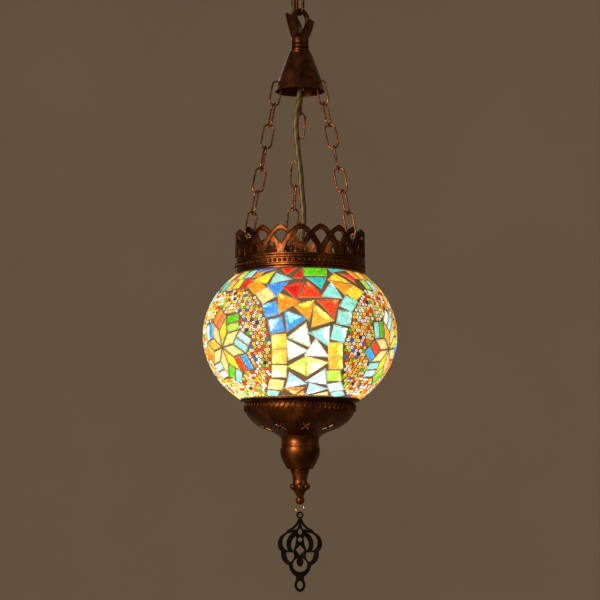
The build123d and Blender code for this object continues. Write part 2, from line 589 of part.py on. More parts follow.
# ---------------------------------------------------------------- finial
with BuildPart() as rod:
    with BuildSketch(Plane.XY.offset(FINIAL_Z - 8)):
        Circle(ROD)
    extrude(amount=URN_Z + BOWL_WALL + 6 - FINIAL_Z + 8)
finish(rod.part, "finial_rod")
hex_nut("finial_nut", URN_Z + BOWL_WALL, 5.0, 10.0, ROD)

KNOP_Z = FINIAL_Z - 16.0
RING_PLANE = Plane(origin=(0, 0, RING_Z), z_dir=outward(90 + RING_TURN))
with BuildPart() as finial:
    with BuildSketch(Plane.XZ):
        with BuildLine():
            Polyline(
                (0, FINIAL_Z - 8), (ROD, FINIAL_Z - 8), (ROD, FINIAL_Z), (8.4, FINIAL_Z),
                (8.8, FINIAL_Z - 1.4), (7.4, FINIAL_Z - 5.0), (6.4, FINIAL_Z - 10.2),
                (7.0, KNOP_Z + 3), (8.0, KNOP_Z),
                (6.2, KNOP_Z - 3.0), (4.6, KNOP_Z - 6), (3.1, KNOP_Z - 8.8), (2.4, BALL_Z), (0, BALL_Z),
                close=True)
        make_face()
    revolve(axis=Axis.Z)
    with PolarLocations(7.0, 6, start_angle=30):
        with Locations((0, 0, KNOP_Z)):
            Sphere(3.2)
    with Locations((0, 0, BALL_Z)):
        Sphere(4.3)
    with Locations(RING_PLANE):
        Torus(RING_BEND, 1.05, mode=Mode.SUBTRACT)
finish(finial.part, "finial")

with BuildPart() as pendant_ring:
    with Locations(RING_PLANE):
        Torus(RING_BEND, RING_WIRE / 2)
finish(pendant_ring.part, "pendant_ring")

# ---------------------------------------------------------------- openwork ornament
with BuildPart() as ornament:
    with BuildSketch(Plane(origin=(0, 0, EYE_Z), x_dir=(1, 0, 0), z_dir=(0, -1, 0))):
        with BuildLine():
            Line((0, -3.0), (1.7, -3.0))
            ThreePointArc((1.7, -3.0), (4.3, -8.2), (10.0, -12.8))
            ThreePointArc((10.0, -12.8), (11.9, -13.9), (12.8, -15.9))
            ThreePointArc((12.8, -15.9), (20.3, -25.4), (17.2, -33.6))
            ThreePointArc((17.2, -33.6), (15.8, -41.3), (10.3, -45.8))
            ThreePointArc((10.3, -45.8), (8.2, -51.6), (3.8, -56.0))
            Line((3.8, -56.0), (3.6, -59.6))
            Line((3.6, -59.6), (0, -59.6))
            Line((0, -59.6), (0, -3.0))
        make_face()
        mirror(about=Plane.YZ)
        Circle(3.35)
        with Locations((0, -63.6)):
            Ellipse(5.1, 6.3)
        Circle(1.65, mode=Mode.SUBTRACT)
        with Locations((0, -63.6)):
            Ellipse(2.6, 3.5, mode=Mode.SUBTRACT)
        with Locations((0, -15.4)):
            Ellipse(1.6, 2.5, mode=Mode.SUBTRACT)
        with Locations((0, -22.4)):
            Circle(1.9, mode=Mode.SUBTRACT)
        with BuildLine():
            Polyline((0, -27.6), (3.8, -31.8), (0, -36.2), (-3.8, -31.8), close=True)
        make_face(mode=Mode.SUBTRACT)
        for half in (1, -1):
            with BuildLine():
                ThreePointArc((half * 0.9, -6.8), (half * 3.2, -10.6), (half * 6.8, -13.4))
                Line((half * 6.8, -13.4), (half * 2.5, -12.4))
                Line((half * 2.5, -12.4), (half * 0.9, -6.8))
            make_face(mode=Mode.SUBTRACT)
            with BuildLine():
                ThreePointArc((half * 7.2, -16.2), (half * 15.9, -23.4), (half * 11.0, -32.6))
                ThreePointArc((half * 11.0, -32.6), (half * 12.4, -25.0), (half * 7.2, -16.2))
            make_face(mode=Mode.SUBTRACT)
            with BuildLine():
                ThreePointArc((half * 3.6, -19.4), (half * 7.9, -25.8), (half * 6.3, -32.2))
                ThreePointArc((half * 6.3, -32.2), (half * 4.2, -26.2), (half * 3.6, -19.4))
            make_face(mode=Mode.SUBTRACT)
            with BuildLine():
                Line((half * 6.3, -34.2), (half * 12.5, -34.0))
                ThreePointArc((half * 12.5, -34.0), (half * 11.7, -38.8), (half * 9.1, -42.6))
                ThreePointArc((half * 9.1, -42.6), (half * 5.9, -39.4), (half * 6.3, -34.2))
            make_face(mode=Mode.SUBTRACT)
            with BuildLine():
                ThreePointArc((half * 2.2, -39.4), (half * 6.4, -46.6), (0, -51.6))
                Line((0, -51.6), (0, -47.2))
                ThreePointArc((0, -47.2), (half * 3.2, -43.4), (half * 2.2, -39.4))
            make_face(mode=Mode.SUBTRACT)
    extrude(amount=ORNAMENT_PLATE / 2, both=True)
finish(ornament.part, "pendant_ornament")


# ---------------------------------------------------------------- flex
def cord_tube(name, points):
    """Straight runs joined by arcs as large as the runs allow."""
    radii = []
    for before, corner, after in zip(points, points[1:], points[2:]):
        turn = math.radians((corner - before).get_angle(after - corner))
        run = min((corner - before).length, (after - corner).length)
        radii.append(0.45 * run / math.tan(turn / 2))
    with BuildPart() as tube:
        with BuildLine() as route:
            FilletPolyline(*points, radius=radii)
        wire = route.wires()[0]
        with BuildSketch(Plane(origin=wire @ 0, z_dir=wire % 0)):
            Circle(CORD / 2)
        sweep(path=wire)
    expected = math.pi * CORD ** 2 / 4 * wire.length
    print(name, "length", round(wire.length, 1), "radii", [round(radius, 1) for radius in radii],
          "volume over section times length", round(tube.part.volume / expected, 4))
    finish(tube.part, name)


def beside_chain(behind, along, height):
    """A point by its distances behind the axis and along the hanger ring."""
    return BEHIND * behind + ALONG * along + UP * height


upper_route = [
    beside_chain(BUSH_OUT, 0.0, -28.0), beside_chain(BUSH_OUT, 0.0, -50.0), beside_chain(13.4, -0.3, -68.5),
    beside_chain(11.6, 0.4, -100.5), beside_chain(9.0, -0.4, -138.5), beside_chain(5.0, 0.0, -145.0),
    beside_chain(0.0, 0.0, -152.0), beside_chain(0.0, 0.0, -160.5)]
first_cut = (upper_route[2] + upper_route[3]) / 2
second_cut = (upper_route[3] + upper_route[4]) / 2
cord_tube("cord_upper_1", upper_route[:3] + [first_cut])
cord_tube("cord_upper_2", [first_cut, upper_route[3], second_cut])
cord_tube("cord_upper_3", [second_cut] + upper_route[4:])
cord_tube("cord_lower", [Vector(*point) for point in (
    (0.0, 0.0, -160.5), (0.0, 0.0, -184.0), (0.9, 0.4, -212.0), (-4.6, -0.6, -238.0), (-3.2, 0.5, -262.0),
    (0.6, 0.2, -290.0), (1.2, -0.4, -306.0), (3.2, 0.0, -324.0), (2.9, 0.4, -342.0), (0.0, 0.0, -357.0),
    (0.0, 0.0, -372.0))])
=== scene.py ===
import json
import math
import random

import bpy
import numpy as np
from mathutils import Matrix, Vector


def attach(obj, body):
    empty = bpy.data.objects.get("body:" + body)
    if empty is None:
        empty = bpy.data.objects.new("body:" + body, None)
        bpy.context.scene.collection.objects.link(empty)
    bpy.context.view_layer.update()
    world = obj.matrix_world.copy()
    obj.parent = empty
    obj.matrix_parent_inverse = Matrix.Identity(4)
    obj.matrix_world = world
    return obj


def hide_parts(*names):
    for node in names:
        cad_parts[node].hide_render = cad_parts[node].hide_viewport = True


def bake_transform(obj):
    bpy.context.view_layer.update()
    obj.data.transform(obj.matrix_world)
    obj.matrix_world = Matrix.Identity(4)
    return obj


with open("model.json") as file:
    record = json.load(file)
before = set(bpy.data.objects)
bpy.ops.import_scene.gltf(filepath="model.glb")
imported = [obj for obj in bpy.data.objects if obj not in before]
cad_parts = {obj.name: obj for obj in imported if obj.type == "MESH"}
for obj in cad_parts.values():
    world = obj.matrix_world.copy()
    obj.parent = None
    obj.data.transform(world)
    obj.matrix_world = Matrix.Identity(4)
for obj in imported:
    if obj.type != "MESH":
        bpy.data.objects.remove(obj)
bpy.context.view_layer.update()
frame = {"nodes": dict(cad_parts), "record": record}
random.seed(11)

# A hanging mosaic lamp. Metres, +Z up, origin in the ceiling plane above the lamp's axis, front facing -Y.
# An azimuth counts from the front, positive towards +X, in degrees.

MM = 0.001
scene = bpy.context.scene


# ---------------------------------------------------------------- camera
camera_data = bpy.data.cameras.new("camera")
camera_data.lens = 123.6
camera_data.sensor_width = 36.0
camera = bpy.data.objects.new("camera", camera_data)
camera.location = (0.0, -1.898, -0.622)
camera.rotation_euler = (math.radians(96.4), 0.0, 0.0)
scene.collection.objects.link(camera)
scene.camera = camera
scene.view_settings.view_transform = "Standard"


# ---------------------------------------------------------------- mesh helpers
def mesh_piece(name, vertices, faces, material, tints=None):
    """A mesh object from points in metres, with a colour for each point if tints are given."""
    mesh = bpy.data.meshes.new(name)
    mesh.from_pydata([tuple(v) for v in vertices], [], [tuple(f) for f in faces])
    mesh.materials.append(material)
    mesh.polygons.foreach_set("use_smooth", [True] * len(mesh.polygons))
    if tints is not None:
        layer = mesh.color_attributes.new("tint", "FLOAT_COLOR", "POINT")
        layer.data.foreach_set("color", np.asarray(tints, np.float32).ravel())
    mesh.update()
    piece = bpy.data.objects.new(name, mesh)
    scene.collection.objects.link(piece)
    return piece


class Pile:
    """Points, faces and tints of many small closed solids that make one piece."""

    def __init__(self):
        self.vertices, self.faces, self.tints = [], [], []

    def add(self, vertices, faces, tints=()):
        start = len(self.vertices)
        self.vertices.extend(vertices)
        self.faces.extend([tuple(start + i for i in face) for face in faces])
        self.tints.extend([(*tint, 1.0) for tint in tints])

    def piece(self, name, material, body, slot):
        made = mesh_piece(name, self.vertices, self.faces, material, self.tints or None)
        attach(made, body)
        return made


def outward(azimuth):
    """Unit vector away from the axis at an azimuth."""
    turn = math.radians(azimuth)
    return Vector((math.sin(turn), -math.cos(turn), 0.0))


def around(azimuth, radius, height):
    """A point in metres by azimuth, radius and height in millimetres."""
    return outward(azimuth) * radius * MM + Vector((0.0, 0.0, height * MM))


def tube_solid(points, radius, sides=8):
    """A closed tube with pointed ends along points, as vertices and faces."""
    vertices, faces = [], []
    points = [Vector(p) for p in points]
    for i, point in enumerate(points):
        ahead = points[min(i + 1, len(points) - 1)] - points[max(i - 1, 0)]
        ahead.normalize()
        side = ahead.cross(Vector((point.x, point.y, 0.0)))
        side.normalize()
        out = side.cross(ahead)
        here = radius * (0.35 if i in (0, len(points) - 1) else 1.0)
        for k in range(sides):
            turn = 2 * math.pi * k / sides
            vertices.append(point + side * math.cos(turn) * here + out * math.sin(turn) * here)
    for i in range(len(points) - 1):
        for k in range(sides):
            a, b = i * sides + k, i * sides + (k + 1) % sides
            faces.append((a, b, b + sides, a + sides))
    faces.append(tuple(range(sides))[::-1])
    last = (len(points) - 1) * sides
    faces.append(tuple(range(last, last + sides)))
    return vertices, faces


def smooth_line(points, steps=5):
    """Points of a Catmull-Rom line through points."""
    ends = [2 * Vector(points[0]) - Vector(points[1])] + [Vector(p) for p in points]
    ends.append(2 * Vector(points[-1]) - Vector(points[-2]))
    line = []
    for a, b, c, d in zip(ends, ends[1:], ends[2:], ends[3:]):
        for k in range(steps):
            t = k / steps
            line.append(0.5 * (2 * b + (c - a) * t + (2 * a - 5 * b + 4 * c - d) * t * t
                               + (3 * b - a - 3 * c + d) * t ** 3))
    line.append(Vector(points[-1]))
    return line


# ---------------------------------------------------------------- materials
class Shader:
    """A Principled material and short ways to wire its nodes."""

    def __init__(self, name, **values):
        self.material = bpy.data.materials.new(name)
        self.material.use_nodes = True
        self.tree = self.material.node_tree
        self.main = self.tree.nodes["Principled BSDF"]
        for socket, value in values.items():
            self.main.inputs[socket.replace("_", " ")].default_value = value
        self.where = self.node("ShaderNodeTexCoord").outputs["Object"]

    def node(self, kind, **settings):
        made = self.tree.nodes.new(kind)
        for key, value in settings.items():
            setattr(made, key, value)
        return made

    def put(self, value, socket):
        """A link where value is an output, else a plain value."""
        if isinstance(value, bpy.types.NodeSocket):
            self.tree.links.new(value, socket)
        else:
            socket.default_value = value

    def math(self, operation, a, b=0.0, c=None):
        made = self.node("ShaderNodeMath", operation=operation)
        self.put(a, made.inputs[0])
        self.put(b, made.inputs[1])
        if c is not None:
            self.put(c, made.inputs[2])
        return made.outputs[0]

    def noise(self, scale, detail=3.0, rough=0.5, distortion=0.0):
        made = self.node("ShaderNodeTexNoise")
        made.inputs["Scale"].default_value = scale
        made.inputs["Detail"].default_value = detail
        made.inputs["Roughness"].default_value = rough
        made.inputs["Distortion"].default_value = distortion
        self.put(self.where, made.inputs["Vector"])
        return made.outputs["Fac"]

    def ramp(self, value, stops):
        made = self.node("ShaderNodeValToRGB")
        elements = made.color_ramp.elements
        while len(elements) < len(stops):
            elements.new(0.5)
        for element, (place, colour) in zip(elements, stops):
            element.position = place
            if isinstance(colour, (int, float)):
                colour = (colour, colour, colour)
            element.color = (*colour, 1.0)
        self.put(value, made.inputs["Fac"])
        return made.outputs["Color"]

    def blend(self, factor, a, b, kind="MIX"):
        made = self.node("ShaderNodeMix", data_type="RGBA", blend_type=kind)
        for socket, value in zip((made.inputs[0], made.inputs[6], made.inputs[7]), (factor, a, b)):
            if isinstance(value, tuple) and len(value) == 3:
                value = (*value, 1.0)
            self.put(value, socket)
        return made.outputs[2]

    def bump(self, height, strength, distance):
        made = self.node("ShaderNodeBump")
        made.inputs["Strength"].default_value = strength
        made.inputs["Distance"].default_value = distance
        self.put(height, made.inputs["Height"])
        before = self.main.inputs["Normal"]
        if before.is_linked:
            self.put(before.links[0].from_socket, made.inputs["Normal"])
        self.put(made.outputs[0], before)

    def set(self, socket, value):
        self.put(value, self.main.inputs[socket])

    def vary(self, socket, cloud, low, high):
        """A socket that drifts between two values or colours with a cloud."""
        self.set(socket, self.ramp(cloud, [(0.3, low), (0.7, high)]))


def metal(name, dark, mid, bright, patch=60.0, roughness=(0.28, 0.5), grain=0.00012):
    """Cast or drawn metal with a patina: dark hollows, worn bright patches, fine pits."""
    shader = Shader(name, Metallic=1.0)
    cloud = shader.noise(patch, 5.0, 0.62, distortion=0.6)
    colour = shader.ramp(cloud, [(0.30, dark), (0.52, mid), (0.72, bright)])
    specks = shader.noise(patch * 14, 3.0, 0.7)
    shader.set("Base Color", shader.blend(shader.ramp(specks, [(0.38, 0.75), (0.5, 0.0)]), colour, dark))
    shader.vary("Roughness", shader.noise(patch * 3, 3.0), roughness[1], roughness[0])
    shader.bump(shader.noise(patch * 20, 4.0, 0.6), 0.5, grain)
    shader.bump(shader.noise(patch * 4, 2.0), 0.35, grain * 3)
    return shader.material


def plastic(name, colour, roughness=0.45):
    shader = Shader(name)
    light = tuple(min(1.0, c * 1.12 + 0.004) for c in colour)
    shader.vary("Base Color", shader.noise(90.0, 4.0), colour, light)
    shader.vary("Roughness", shader.noise(400.0, 2.0), roughness, roughness + 0.14)
    shader.bump(shader.noise(2200.0, 2.0), 0.3, 0.00005)
    return shader.material


BULB_CENTRE = (0.0, 0.0, -0.4584)


def glow(shader, falloff, reach=0.09):
    """How strongly the bulb's light reaches a point of the globe, 1 at the distance reach."""
    apart = shader.node("ShaderNodeVectorMath", operation="DISTANCE")
    shader.put(shader.where, apart.inputs[0])
    apart.inputs[1].default_value = BULB_CENTRE
    return shader.math("POWER", shader.math("DIVIDE", reach, apart.outputs["Value"]), falloff)


def tint_of(shader):
    return shader.node("ShaderNodeVertexColor", layer_name="tint").outputs["Color"]


def stained_glass(name, strength, roughness, through, mottle):
    """Coloured glass, streaky inside, that the bulb shines through."""
    shader = Shader(name, IOR=1.48, Transmission_Weight=through, Emission_Strength=strength)
    streaks = shader.noise(mottle, 4.0, 0.6, distortion=1.4)
    specks = shader.noise(mottle * 4, 2.0, 0.6)
    cloud = shader.math("ADD", shader.math("MULTIPLY", streaks, 0.7), shader.math("MULTIPLY", specks, 0.3))
    tone = shader.ramp(cloud, [(0.32, 0.62), (0.5, 0.95), (0.68, 1.3)])
    colour = shader.blend(1.0, tint_of(shader), tone, "MULTIPLY")
    shader.set("Base Color", colour)
    lit = shader.node("ShaderNodeVectorMath", operation="SCALE")
    shader.put(colour, lit.inputs[0])
    shader.put(glow(shader, 1.6), lit.inputs["Scale"])
    shader.set("Emission Color", lit.outputs[0])
    shader.vary("Roughness", shader.noise(mottle * 2, 2.0), roughness, roughness + 0.12)
    shader.bump(cloud, 0.5, 0.0004)
    return shader.material


def grout_material():
    shader = Shader("grout")
    speckle = shader.noise(900.0, 4.0, 0.65)
    cloud = shader.noise(70.0, 3.0)
    colour = shader.ramp(cloud, [(0.3, (0.075, 0.055, 0.030)), (0.7, (0.135, 0.10, 0.058))])
    colour = shader.blend(shader.ramp(speckle, [(0.4, 0.0), (0.62, 0.45)]), colour, (0.21, 0.16, 0.10))
    shader.set("Base Color", colour)
    lit = shader.node("ShaderNodeVectorMath", operation="SCALE")
    shader.put(shader.blend(1.0, colour, (1.0, 0.72, 0.42), "MULTIPLY"), lit.inputs[0])
    shader.put(glow(shader, 2.4), lit.inputs["Scale"])
    shader.set("Emission Color", lit.outputs[0])
    shader.main.inputs["Emission Strength"].default_value = 0.7
    shader.vary("Roughness", speckle, 0.6, 0.85)
    shader.bump(speckle, 0.6, 0.0002)
    return shader.material


STRAND_PITCH = 0.014


def cord_material(name, dark, gold):
    """Strands twisted inside a clear sheath, with painted shade in the grooves between strands and a painted
    highlight on their crests.
    """
    shader = Shader(name, Coat_Weight=0.2, Coat_Roughness=0.3)
    uv = shader.node("ShaderNodeSeparateXYZ")
    shader.put(shader.node("ShaderNodeTexCoord").outputs["UV"], uv.inputs[0])
    place = shader.node("ShaderNodeSeparateXYZ")
    shader.put(shader.where, place.inputs[0])
    round_it = shader.math("MULTIPLY", uv.outputs["Y"], 2 * 2 * math.pi)
    down_it = shader.math("MULTIPLY", place.outputs["Z"], 2 * math.pi / STRAND_PITCH)
    turns = shader.math("ADD", round_it, down_it)
    twist = shader.math("MULTIPLY_ADD", shader.math("SINE", turns), 0.5, 0.5)
    fine = shader.math("SINE", shader.math("MULTIPLY", turns, 9.0))
    # Painted light: the twist runs from dark in the grooves (painted shade) through gold to a paler colour on the
    # crests (painted highlight).
    pale = tuple(min(1, 1.25 * g) for g in gold)
    strand_painted_light = shader.ramp(twist, [(0.05, dark), (0.35, gold), (0.9, pale)])
    cloud = shader.ramp(shader.noise(160.0, 3.0), [(0.3, 0.7), (0.7, 1.1)])
    shader.set("Base Color", shader.blend(1.0, strand_painted_light, cloud, "MULTIPLY"))
    shader.set("Metallic", shader.ramp(twist, [(0.3, 0.0), (0.6, 0.15)]))
    shader.vary("Roughness", shader.noise(500.0, 2.0), 0.42, 0.56)
    shader.bump(shader.math("MULTIPLY_ADD", fine, 0.15, twist), 0.5, 0.0004)
    return shader.material


def clear_material(name, colour, roughness):
    shader = Shader(name, IOR=1.46, Transmission_Weight=0.95)
    shader.vary("Base Color", shader.noise(20.0, 2.0), colour, (0.98, 0.97, 0.94))
    shader.vary("Roughness", shader.noise(60.0, 2.0), roughness, roughness + 0.08)
    return shader.material


def bulb_material():
    shader = Shader("bulb_frosted", Emission_Strength=17.0, Roughness=0.5)
    centre = glow(shader, 1.0, 0.0225)
    shader.set("Emission Color", shader.ramp(centre, [(0.5, (1.0, 0.55, 0.22)), (1.0, (1.0, 0.80, 0.52))]))
    shader.vary("Base Color", shader.noise(300.0, 2.0), (0.86, 0.84, 0.8), (0.95, 0.93, 0.9))
    return shader.material


SLOT_MATERIALS = {
    "zinc_steel": metal("zinc_steel", (0.28, 0.28, 0.27), (0.46, 0.46, 0.45), (0.62, 0.62, 0.60)),
    "aged_copper": metal("aged_copper", (0.048, 0.017, 0.007), (0.125, 0.041, 0.013), (0.31, 0.100, 0.027),
                         70.0, (0.31, 0.48)),
    "chain_copper": metal("chain_copper", (0.07, 0.022, 0.010), (0.34, 0.115, 0.045), (0.66, 0.27, 0.12),
                          120.0, (0.22, 0.4), 0.00006),
    "gold_wire": metal("gold_wire", (0.30, 0.17, 0.05), (0.72, 0.46, 0.14), (0.95, 0.72, 0.32),
                       200.0, (0.18, 0.3), 0.00003),
    "black_iron": metal("black_iron", (0.006, 0.005, 0.005), (0.016, 0.013, 0.012), (0.05, 0.038, 0.03),
                        110.0, (0.35, 0.55)),
    "bulb_metal": metal("bulb_metal", (0.45, 0.44, 0.42), (0.66, 0.65, 0.62), (0.8, 0.8, 0.78),
                        150.0, (0.2, 0.35)),
    "white_plastic": plastic("white_plastic", (0.72, 0.71, 0.67)),
    "black_plastic": plastic("black_plastic", (0.018, 0.017, 0.016)),
    "silicone": plastic("silicone", (0.17, 0.12, 0.075), 0.5),
    "clear_glass": clear_material("clear_glass", (0.93, 0.92, 0.88), 0.05),
    "bulb_frosted": bulb_material(),
}
SLOT_OF = {part["node"]: part["material_slot"] for part in frame["record"]["subparts"]}
for node, shape in frame["nodes"].items():
    if SLOT_OF[node] in SLOT_MATERIALS:
        shape.data.materials.clear()
        shape.data.materials.append(SLOT_MATERIALS[SLOT_OF[node]])

# ---------------------------------------------------------------- flex
# Its route runs beside the top chain, through the hanger ring and its collar, and down to the cord grip.
LOOP_TURN = math.radians(35.0)
ALONG = Vector((math.cos(LOOP_TURN), math.sin(LOOP_TURN), 0.0))
BEHIND = Vector((-math.sin(LOOP_TURN), math.cos(LOOP_TURN), 0.0))
CORD = 0.0056


def beside_chain(behind, along, height):
    """A point by its distances behind the axis and along the hanger ring."""
    return BEHIND * behind + ALONG * along + Vector((0.0, 0.0, height))


upper_route = [
    beside_chain(0.016, 0.0, -0.028), beside_chain(0.016, 0.0, -0.050),
    beside_chain(0.0134, -0.0003, -0.0685), beside_chain(0.0116, 0.0004, -0.1005),
    beside_chain(0.0090, -0.0004, -0.1385), beside_chain(0.005, 0.0, -0.145),
    beside_chain(0.0, 0.0, -0.152), beside_chain(0.0, 0.0, -0.1605)]
first_cut = (upper_route[2] + upper_route[3]) / 2
second_cut = (upper_route[3] + upper_route[4]) / 2
lower_route = [Vector(point) for point in (
    (0.0, 0.0, -0.1605), (0.0, 0.0, -0.184), (0.0009, 0.0004, -0.212), (-0.0046, -0.0006, -0.238),
    (-0.0032, 0.0005, -0.262), (0.0006, 0.0002, -0.290), (0.0012, -0.0004, -0.306), (0.0032, 0.0, -0.324),
    (0.0029, -0.0004, -0.342), (0.0, 0.0, -0.357), (0.0, 0.0, -0.372))]


def flex(name, route, material):
    """A stretch of the flex: a tube round the route's NURBS spline."""
    curve = bpy.data.curves.new(name, "CURVE")
    curve.dimensions = "3D"
    curve.resolution_u = 10
    spline = curve.splines.new("NURBS")
    spline.points.add(len(route) - 1)
    for point, place in zip(spline.points, route):
        point.co = (*place, 1.0)
    spline.order_u = 3
    spline.use_endpoint_u = True
    shape = bpy.data.objects.new(name + "_route", curve)
    scene.collection.objects.link(shape)

    def drawn():
        bpy.context.view_layer.update()
        return bpy.data.meshes.new_from_object(shape.evaluated_get(bpy.context.evaluated_depsgraph_get()))

    line = drawn()
    curve.bevel_depth = CORD / 2
    curve.bevel_resolution = 5
    curve.use_fill_caps = True
    tube = bpy.data.objects.new(name + "_flex", drawn())
    bpy.data.objects.remove(shape)
    tube.data.materials.clear()
    tube.data.materials.append(material)
    tube.data.polygons.foreach_set("use_smooth", [len(p.vertices) == 4 for p in tube.data.polygons])
    scene.collection.objects.link(tube)
    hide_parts(name)
    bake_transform(tube)
    return tube


# Painted shade: the flex is one cord, and its upper stretch beside the chain takes a darker copy of the same
# sheath material than its lower stretch.
upper_painted_shade_look = cord_material("cord_sheath_painted_shade", (0.030, 0.020, 0.006), (0.060, 0.040, 0.010))
lower_look = cord_material("cord_sheath_gold", (0.055, 0.035, 0.003), (0.125, 0.080, 0.006))
flex("cord_upper_1", upper_route[:3] + [first_cut],
     upper_painted_shade_look)
flex("cord_upper_2", [first_cut, upper_route[3], second_cut],
     upper_painted_shade_look)
flex("cord_upper_3", [second_cut] + upper_route[4:],
     upper_painted_shade_look)
flex("cord_lower", lower_route, lower_look)

# ---------------------------------------------------------------- levels, in millimetres
BAND_Z = -372.3
GLOBE_Z = -442.4
LIP_Z = -501.3
ACROSS, TALL = 90.0, 75.0                     # half axes of the globe over the tiles
GLOBE_TOP_S, GLOBE_FLOOR_S = 74.6, -71.6

# ---------------------------------------------------------------- crown: raised rims and the row of beads
ARCHES = 20
FIRST_ARCH = 0.6
CROWN_RADIUS = 59.5
RIM_RADIUS = CROWN_RADIUS + 0.3
PITCH = 360.0 / ARCHES
# Edges of the strip that falls to the left from an arch tip: millimetres round the crown, above its band.
STRIP_TOP = [(0, 27.0), (-5.0, 24.3), (-9.35, 20.4), (-13.1, 17.2), (-15.4, 13.4), (-18.5, 8.2)]
STRIP_UNDER = [(0, 21.3), (-3.2, 19.8), (-5.7, 17.4), (-9.35, 12.6), (-12.8, 6.9), (-14.9, 0.6)]
RIM = 0.62
GAP_FROM, GAP_TO = 7.6, 11.4                  # where a strip to the right passes under its neighbour


def rim_points(edge, mirror, shift):
    """An edge of a strip, moved shift into the strip, as points in metres at the front arch."""
    line = smooth_line([Vector((x, s, 0)) for x, s in edge], 4)
    moved = []
    for i, point in enumerate(line):
        ahead = line[min(i + 1, len(line) - 1)] - line[max(i - 1, 0)]
        ahead.normalize()
        side = Vector((-ahead.y, ahead.x, 0)) * shift
        moved.append(((point.x + side.x) * mirror, point.y + side.y))
    return moved


rims = Pile()
for arch in range(ARCHES):
    tip = FIRST_ARCH + arch * PITCH
    for mirror in (1, -1):
        for edge, shift in ((STRIP_TOP, RIM), (STRIP_UNDER, -RIM)):
            line = rim_points(edge, mirror, shift)
            cuts = [line]
            if mirror < 0:
                cuts = [[p for p in line if abs(p[0]) < GAP_FROM], [p for p in line if abs(p[0]) > GAP_TO]]
            for cut in cuts:
                points = [around(tip + math.degrees(x / CROWN_RADIUS), RIM_RADIUS, BAND_Z + s)
                          for x, s in cut]
                rims.add(*tube_solid(points, RIM * MM, 6))
rims.piece("crown_rims", SLOT_MATERIALS["aged_copper"], "lamp", "aged_copper")


def ball(place, out, wide, tall, deep, lean=0.0, rings=5, sides=10):
    """A small ellipsoid at a place: wide round the lamp, tall along its height, leaning by degrees."""
    up = Vector((0, 0, 1))
    along = up.cross(out)
    turn = math.radians(lean)
    along, up = along * math.cos(turn) + up * math.sin(turn), up * math.cos(turn) - along * math.sin(turn)
    vertices = [place + out * deep]
    for ring in range(1, rings):
        polar = math.pi * ring / rings
        for k in range(sides):
            turn = 2 * math.pi * k / sides
            vertices.append(place + out * deep * math.cos(polar)
                            + along * wide * math.sin(polar) * math.cos(turn)
                            + up * tall * math.sin(polar) * math.sin(turn))
    vertices.append(place - out * deep)
    faces = [(0, 1 + k, 1 + (k + 1) % sides) for k in range(sides)]
    for ring in range(rings - 2):
        for k in range(sides):
            a, b = 1 + ring * sides + k, 1 + ring * sides + (k + 1) % sides
            faces.append((a, a + sides, b + sides, b))
    last = len(vertices) - 1
    faces += [(last, last - sides + (k + 1) % sides, last - sides + k) for k in range(sides)]
    return vertices, faces


BAND_BEADS = 80
BAND_BEAD_SIZES = (1.75 * MM, 1.85 * MM, 1.55 * MM)
beads = Pile()
for number in range(BAND_BEADS):
    azimuth = 360.0 * number / BAND_BEADS
    beads.add(*ball(around(azimuth, 59.3, BAND_Z - 6.6), outward(azimuth), *BAND_BEAD_SIZES))
beads.piece("crown_beads", SLOT_MATERIALS["aged_copper"], "lamp", "aged_copper")

BOWL_STROKES = 66
STROKE_SIZES = (0.72 * MM, 4.2 * MM, 1.4 * MM)
STROKE_LEAN = -27.0                           # degrees
strokes = Pile()
for number in range(BOWL_STROKES):
    azimuth = 360.0 * number / BOWL_STROKES
    strokes.add(*ball(around(azimuth, 50.5, LIP_Z - 8.2), outward(azimuth), *STROKE_SIZES, STROKE_LEAN))
strokes.piece("bowl_strokes", SLOT_MATERIALS["aged_copper"], "lamp", "aged_copper")


# ---------------------------------------------------------------- globe surface
def meridian(steps=400):
    """Arc length from the equator, radius and height along the globe's outline."""
    table = [(0.0, ACROSS, 0.0)]
    for i in range(steps):
        angle = (i + 1) * math.radians(75) / steps
        radius, height = ACROSS * math.cos(angle), TALL * math.sin(angle)
        run = math.hypot(radius - table[-1][1], height - table[-1][2])
        table.append((table[-1][0] + run, radius, height))
    return np.array(table)


OUTLINE = meridian()


def ring_radius(s):
    return np.interp(np.abs(s), OUTLINE[:, 0], OUTLINE[:, 1])


def on_globe(azimuth, s, depth):
    """Points in metres at azimuths, arc lengths above the equator and depths under the outer surface."""
    radius, height = ring_radius(s), np.sign(s) * np.interp(np.abs(s), OUTLINE[:, 0], OUTLINE[:, 2])
    out, up = radius / ACROSS ** 2, height / TALL ** 2
    size = np.hypot(out, up)
    radius, height = radius - depth * out / size, height - depth * up / size
    turn = np.radians(azimuth)
    return np.stack([radius * np.sin(turn), -radius * np.cos(turn), height + GLOBE_Z], -1) * MM


def edges(polygon):
    return list(zip(polygon, polygon[1:] + polygon[:1]))


def double_area(polygon):
    """Twice a polygon's area, positive where its corners run anticlockwise."""
    return sum(a[0] * b[1] - b[0] * a[1] for a, b in edges(polygon))


def side_distance(polygon, x, y):
    """How far points lie outside a convex polygon, negative inside."""
    found = np.full(np.shape(x), -1e9)
    way = 1 if double_area(polygon) > 0 else -1
    for a, b in edges(polygon):
        run = math.hypot(b[0] - a[0], b[1] - a[1])
        found = np.maximum(found, way * ((x - a[0]) * (b[1] - a[1]) - (y - a[1]) * (b[0] - a[0])) / run)
    return found


